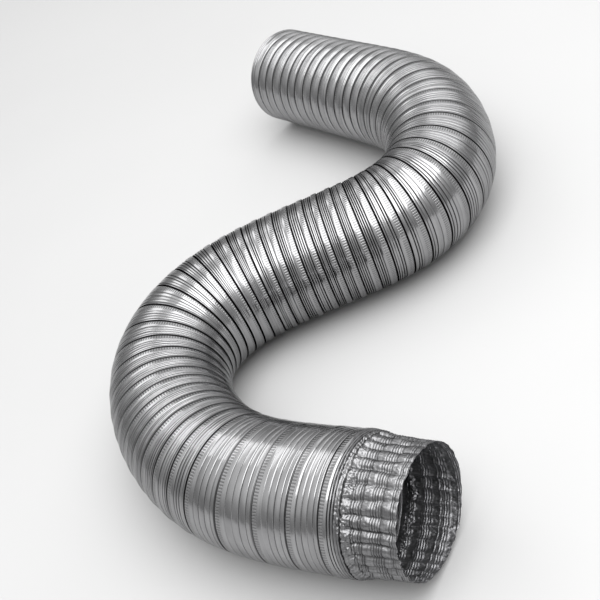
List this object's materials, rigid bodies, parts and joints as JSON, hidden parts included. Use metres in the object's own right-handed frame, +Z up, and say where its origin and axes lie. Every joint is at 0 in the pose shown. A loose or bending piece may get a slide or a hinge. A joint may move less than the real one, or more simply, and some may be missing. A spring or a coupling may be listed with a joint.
{
  "type": "flexible air duct",
  "caption": "Semi-rigid corrugated aluminium air duct for a 100 mm vent, wound from one strip, bent in an S, with a crimped end that fits into a pipe.",
  "frame": {"origin": "on the surface the duct lies on, under the middle of its box", "axes": "+Z up from the surface, +X out of the crimped end along its axis, +Y along the longest side of the S, towards the plain end"},
  "size_m": [0.3994, 0.6748, 0.106],
  "materials": {
    "duct_wall": "bright",
    "pleat": "bright",
    "crimp": "bright"
  },
  "bodies": {
    "section_01": {"crimped_end": "crimp", "wall_section_01": "duct_wall", "pleats_01": "pleat"},
    "section_02": {"wall_section_02": "duct_wall", "pleats_02": "pleat"},
    "section_03": {"wall_section_03": "duct_wall", "pleats_03": "pleat"},
    "section_04": {"wall_section_04": "duct_wall", "pleats_04": "pleat"},
    "section_05": {"wall_section_05": "duct_wall", "pleats_05": "pleat"},
    "section_06": {"wall_section_06": "duct_wall", "pleats_06": "pleat"},
    "section_07": {"wall_section_07": "duct_wall", "pleats_07": "pleat"},
    "section_08": {"wall_section_08": "duct_wall", "pleats_08": "pleat"},
    "section_09": {"wall_section_09": "duct_wall"},
    "section_10": {"wall_section_10": "duct_wall", "pleats_09": "pleat"},
    "section_11": {"wall_section_11": "duct_wall", "pleats_10": "pleat"},
    "section_12": {"wall_section_12": "duct_wall", "pleats_11": "pleat"},
    "section_13": {"wall_section_13": "duct_wall", "pleats_12": "pleat"},
    "section_14": {"wall_section_14": "duct_wall", "pleats_13": "pleat"},
    "section_15": {"wall_section_15": "duct_wall", "pleats_14": "pleat"},
    "section_16": {"wall_section_16": "duct_wall", "pleats_15": "pleat"},
    "section_17": {"wall_section_17": "duct_wall", "pleats_16": "pleat"}
  },
  "joints": [
    {"name": "flex_01_stretch", "type": "slide", "parent": "section_02", "child": "section_01", "axis": [0.9997, -0.0244, 0], "range_m": [-0.012, 0.03], "deforming": ["pleats_01"]},
    {"name": "flex_02_bend", "type": "hinge", "parent": "section_03", "child": "section_02", "pos_m": [0.0416, -0.27804, 0.053], "axis": [-0.0017, -0.0003, -1], "range_deg": [-11, 15], "deforming": ["pleats_02"]},
    {"name": "flex_03_lift", "type": "hinge", "parent": "section_04", "child": "section_03", "pos_m": [-0.0107, -0.25663, 0.053], "axis": [-0.5201, -0.8541, 0], "range_deg": [-4, 12], "deforming": ["pleats_03"]},
    {"name": "flex_04_bend", "type": "hinge", "parent": "section_05", "child": "section_04", "pos_m": [-0.0544, -0.22069, 0.053], "axis": [0.0016, -0.0007, -1], "range_deg": [-11, 15], "deforming": ["pleats_04"]},
    {"name": "flex_05_bend", "type": "hinge", "parent": "section_06", "child": "section_05", "pos_m": [-0.08369, -0.17256, 0.053], "axis": [0.0011, 0.0014, -1], "range_deg": [-7, 15], "deforming": ["pleats_05"]},
    {"name": "flex_06_bend", "type": "hinge", "parent": "section_07", "child": "section_06", "pos_m": [-0.08445, -0.11668, 0.053], "axis": [-0.0011, 0.0014, -1], "range_deg": [-6, 15], "deforming": ["pleats_06"]},
    {"name": "flex_07_lift", "type": "hinge", "parent": "section_08", "child": "section_07", "pos_m": [-0.0546, -0.06908, 0.053], "axis": [-0.7089, 0.7053, 0], "range_deg": [-4, 12], "deforming": ["pleats_07"]},
    {"name": "flex_08_stretch", "type": "slide", "parent": "section_09", "child": "section_08", "axis": [-0.8236, -0.5671, 0], "range_m": [-0.012, 0.03], "deforming": ["pleats_08"]},
    {"name": "flex_09_lift", "type": "hinge", "parent": "section_09", "child": "section_10", "pos_m": [0.03652, -0.00161, 0.053], "axis": [0.5997, -0.8002, 0], "range_deg": [-4, 12], "deforming": ["pleats_09"]},
    {"name": "flex_10_bend", "type": "hinge", "parent": "section_10", "child": "section_11", "pos_m": [0.07452, 0.03987, 0.053], "axis": [0.0007, 0.0016, -1], "range_deg": [-5, 10], "deforming": ["pleats_10"]},
    {"name": "flex_11_bend", "type": "hinge", "parent": "section_11", "child": "section_12", "pos_m": [0.08186, 0.09509, 0.053], "axis": [-0.0013, 0.0011, -1], "range_deg": [-8, 12], "deforming": ["pleats_11"]},
    {"name": "flex_12_bend", "type": "hinge", "parent": "section_12", "child": "section_13", "pos_m": [0.06089, 0.14754, 0.053], "axis": [-0.0014, -0.001, -1], "range_deg": [-12, 15], "deforming": ["pleats_12"]},
    {"name": "flex_13_bend", "type": "hinge", "parent": "section_13", "child": "section_14", "pos_m": [0.02495, 0.19113, 0.053], "axis": [0.0006, -0.0017, -1], "range_deg": [-10, 15], "deforming": ["pleats_13"]},
    {"name": "flex_14_lift", "type": "hinge", "parent": "section_14", "child": "section_15", "pos_m": [-0.02328, 0.22076, 0.053], "axis": [0.4304, 0.9026, 0], "range_deg": [-4, 12], "deforming": ["pleats_14"]},
    {"name": "flex_15_stretch", "type": "slide", "parent": "section_15", "child": "section_16", "axis": [-0.9135, 0.4067, 0], "range_m": [-0.012, 0.03], "deforming": ["pleats_15"]},
    {"name": "flex_16_bend", "type": "hinge", "parent": "section_16", "child": "section_17", "pos_m": [-0.12688, 0.26717, 0.053], "axis": [-0.0015, 0.0008, -1], "range_deg": [-15, 15], "deforming": ["pleats_16"]}
  ]
}
